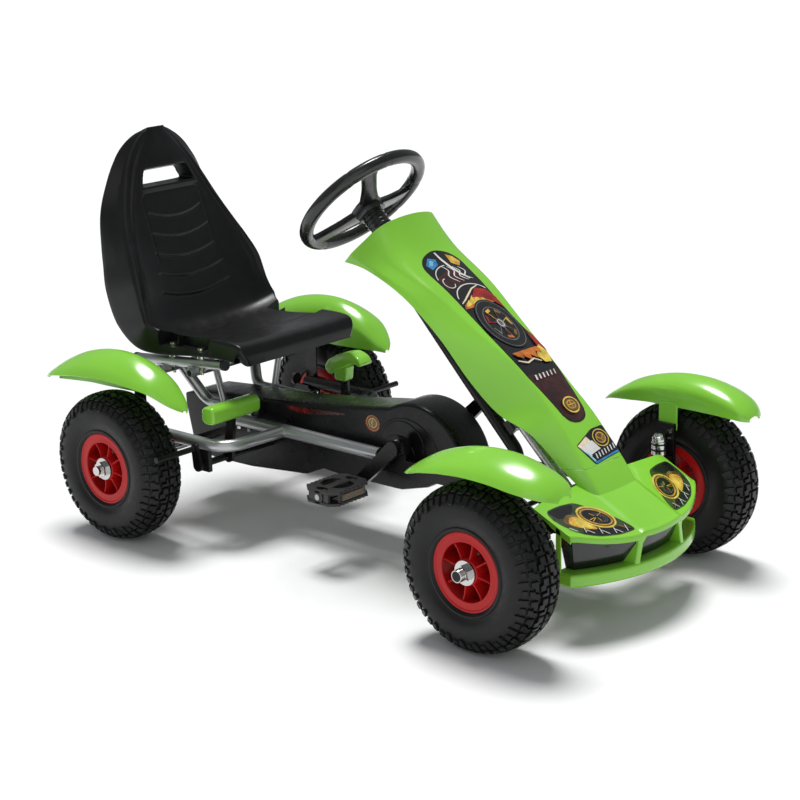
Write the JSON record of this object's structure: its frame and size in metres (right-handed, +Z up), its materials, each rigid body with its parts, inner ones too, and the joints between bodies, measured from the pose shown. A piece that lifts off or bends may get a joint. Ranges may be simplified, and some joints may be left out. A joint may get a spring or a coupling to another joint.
{
  "type": "pedal go kart",
  "caption": "Child's chain-driven pedal go kart with pneumatic tyres, bucket seat, nose cover, fenders, hand brake and rack-free rod steering.",
  "frame": {"origin": "on the floor, under the middle of the kart's bounding box", "axes": "+Z up, the kart's front faces -Y, the driver's right is -X"},
  "size_m": [0.64, 1.1304, 0.6747],
  "materials": {
    "silver_tube": "metallic satin",
    "black_steel": "semi-gloss",
    "bright_steel": "polished zinc",
    "steel": "machined",
    "green_plastic": "gloss",
    "black_gloss": "gloss",
    "black_plastic": "satin",
    "nylon": "satin",
    "red_plastic": "satin",
    "tyre": "matte"
  },
  "bodies": {
    "frame": {"main_tubes": "silver_tube", "side_bars": "black_steel", "front_axle_beam": "black_steel", "column_support": "silver_tube", "steering_bushes": "nylon", "outriggers": "silver_tube", "axle_bearing_blocks": "black_steel", "ball_bearings": "steel", "frame_bolts": "bright_steel", "seat_supports": "silver_tube", "seat_cross_tubes": "silver_tube", "seat_rails": "silver_tube", "tube_end_caps": "black_plastic", "seat_shell": "black_plastic", "seat_bolts": "bright_steel", "chain_case_right": "black_plastic", "chain_case_left": "black_plastic", "chain": "steel", "lever_brackets": "black_steel", "nose_cover": "green_plastic", "bumper": "green_plastic", "bumper_grille": "black_gloss", "bumper_stays": "black_steel", "rear_fender_right": "green_plastic", "rear_fender_left": "green_plastic", "fender_stays": "black_steel"},
    "steering": {"steering_shaft": "steel", "steering_wheel": "black_gloss"},
    "tie_rod_right": {"tie_rod_right": "black_steel"},
    "tie_rod_left": {"tie_rod_left": "black_steel"},
    "knuckle_right": {"knuckle_right": "black_steel", "kingpin_right": "bright_steel", "front_fender_right": "green_plastic", "front_hub_nut_right": "bright_steel"},
    "knuckle_left": {"knuckle_left": "black_steel", "kingpin_left": "bright_steel", "front_fender_left": "green_plastic", "front_hub_nut_left": "bright_steel"},
    "front_wheel_right": {"front_tyre_right": "tyre", "front_rim_right": "red_plastic", "front_bearings_right": "steel"},
    "front_wheel_left": {"front_tyre_left": "tyre", "front_rim_left": "red_plastic", "front_bearings_left": "steel"},
    "rear_wheels": {"rear_axle": "steel", "rear_sprocket": "steel", "rear_tyre_right": "tyre", "rear_tyre_left": "tyre", "rear_rim_right": "red_plastic", "rear_rim_left": "red_plastic", "rear_hub_nuts": "bright_steel"},
    "crank": {"crank": "black_steel", "chainring": "steel", "pedal_spindles": "steel"},
    "pedal_right": {"pedal_right": "black_plastic"},
    "pedal_left": {"pedal_left": "black_plastic"},
    "brake": {"brake_lever": "black_steel", "brake_grip": "green_plastic"},
    "shift": {"shift_lever": "black_steel", "shift_grip": "green_plastic"}
  },
  "joints": [
    {"name": "steering_turn", "type": "hinge", "parent": "frame", "child": "steering", "pos_m": [0, 0.042, 0.585], "axis": [0, 0.7141, 0.7001], "range_deg": [-40, 40]},
    {"name": "knuckle_right_turn", "type": "hinge", "parent": "frame", "child": "knuckle_right", "pos_m": [-0.19, -0.421, 0.155], "axis": [0, 0, 1], "range_deg": [-23.2, 23.2]},
    {"name": "tie_rod_right_swing", "type": "hinge", "parent": "steering", "child": "tie_rod_right", "pos_m": [0, -0.33719, 0.14883], "axis": [0, 0.7141, 0.7001], "range_deg": [-40.5, 40.5]},
    {"name": "front_wheel_right_spin", "type": "hinge", "parent": "knuckle_right", "child": "front_wheel_right", "pos_m": [-0.2655, -0.421, 0.13], "axis": [1, 0, 0], "continuous": true},
    {"name": "knuckle_left_turn", "type": "hinge", "parent": "frame", "child": "knuckle_left", "pos_m": [0.19, -0.421, 0.155], "axis": [0, 0, 1], "range_deg": [-23.2, 23.2]},
    {"name": "tie_rod_left_swing", "type": "hinge", "parent": "steering", "child": "tie_rod_left", "pos_m": [0, -0.3449, 0.14127], "axis": [0, 0.7141, 0.7001], "range_deg": [-40.5, 40.5]},
    {"name": "front_wheel_left_spin", "type": "hinge", "parent": "knuckle_left", "child": "front_wheel_left", "pos_m": [0.2655, -0.421, 0.13], "axis": [1, 0, 0], "continuous": true},
    {"name": "rear_wheels_spin", "type": "hinge", "parent": "frame", "child": "rear_wheels", "pos_m": [0, 0.385, 0.13], "axis": [1, 0, 0], "continuous": true},
    {"name": "crank_spin", "type": "hinge", "parent": "frame", "child": "crank", "pos_m": [0, -0.0845, 0.1995], "axis": [1, 0, 0], "continuous": true},
    {"name": "pedal_right_spin", "type": "hinge", "parent": "crank", "child": "pedal_right", "pos_m": [-0.135, -0.00771, 0.12789], "axis": [1, 0, 0], "continuous": true},
    {"name": "pedal_left_spin", "type": "hinge", "parent": "crank", "child": "pedal_left", "pos_m": [0.135, -0.16129, 0.27111], "axis": [1, 0, 0], "continuous": true},
    {"name": "brake_pull", "type": "hinge", "parent": "frame", "child": "brake", "pos_m": [0, 0.244, 0.14], "axis": [-1, 0, 0], "range_deg": [0, 10]},
    {"name": "shift_throw", "type": "hinge", "parent": "frame", "child": "shift", "pos_m": [0.14, 0.23, 0.16], "axis": [1, 0, 0], "range_deg": [-12, 12]}
  ],
  "couplings": [
    {"joint": "knuckle_right_turn", "follows": "steering_turn", "ratio": 0.575},
    {"joint": "tie_rod_right_swing", "follows": "steering_turn", "ratio": -1},
    {"joint": "knuckle_left_turn", "follows": "steering_turn", "ratio": 0.575},
    {"joint": "tie_rod_left_swing", "follows": "steering_turn", "ratio": -1},
    {"joint": "crank_spin", "follows": "rear_wheels_spin", "ratio": 0.69231}
  ]
}
